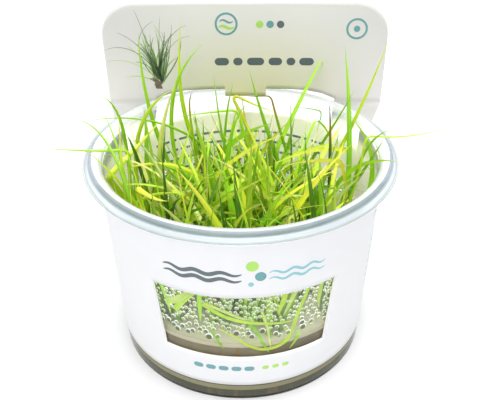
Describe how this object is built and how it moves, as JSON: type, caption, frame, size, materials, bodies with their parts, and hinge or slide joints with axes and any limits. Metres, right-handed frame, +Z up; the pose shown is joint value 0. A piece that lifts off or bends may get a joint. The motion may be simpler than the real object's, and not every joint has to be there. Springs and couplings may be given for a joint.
{
  "type": "tissue culture creeping rush in a tub",
  "caption": "Creeping rush grown on culture gel in a clear round tub, wrapped in a card sleeve with a front window and a raised rear header.",
  "frame": {"origin": "centre of the tub's flat underside", "axes": "+Z up out of the tub's mouth, -Y towards the sleeve's window, +Y towards the header, +X to the right of the window"},
  "size_m": [0.137, 0.108, 0.112],
  "materials": {
    "clear_plastic": "clear, smooth",
    "culture_gel": "wet clear jelly, amber to olive",
    "card": "coated white card",
    "leaf": "fresh leaf, satin"
  },
  "bodies": {
    "root": {"card_sleeve": "card", "gel": "culture_gel", "leaf_01": "leaf", "leaf_02": "leaf", "leaf_03": "leaf", "leaf_04": "leaf", "leaf_05": "leaf", "leaf_06": "leaf", "leaf_07": "leaf", "leaf_08": "leaf", "leaf_09": "leaf", "leaf_10": "leaf", "leaf_11": "leaf", "leaf_12": "leaf", "leaf_13": "leaf", "leaf_14": "leaf", "leaf_15": "leaf", "leaf_16": "leaf", "leaf_17": "leaf", "leaf_18": "leaf", "leaf_19": "leaf", "leaf_20": "leaf", "leaf_21": "leaf", "leaf_22": "leaf", "leaf_23": "leaf", "leaf_24": "leaf", "leaf_25": "leaf", "leaf_26": "leaf", "leaf_27": "leaf", "leaf_28": "leaf", "leaf_29": "leaf", "leaf_30": "leaf", "leaf_31": "leaf", "leaf_32": "leaf", "leaf_33": "leaf", "leaf_34": "leaf", "leaf_35": "leaf", "leaf_36": "leaf", "leaf_37": "leaf", "leaf_38": "leaf", "leaf_39": "leaf", "leaf_40": "leaf", "leaf_41": "leaf", "leaf_42": "leaf", "leaf_43": "leaf", "leaf_44": "leaf", "leaf_45": "leaf", "leaf_46": "leaf", "leaf_47": "leaf", "shoot_1": "leaf", "shoot_2": "leaf", "shoot_3": "leaf", "shoot_4": "leaf", "shoot_5": "leaf", "shoot_6": "leaf", "shoot_7": "leaf", "shoot_8": "leaf", "shoot_9": "leaf", "tub": "clear_plastic"}
  },
  "joints": []
}
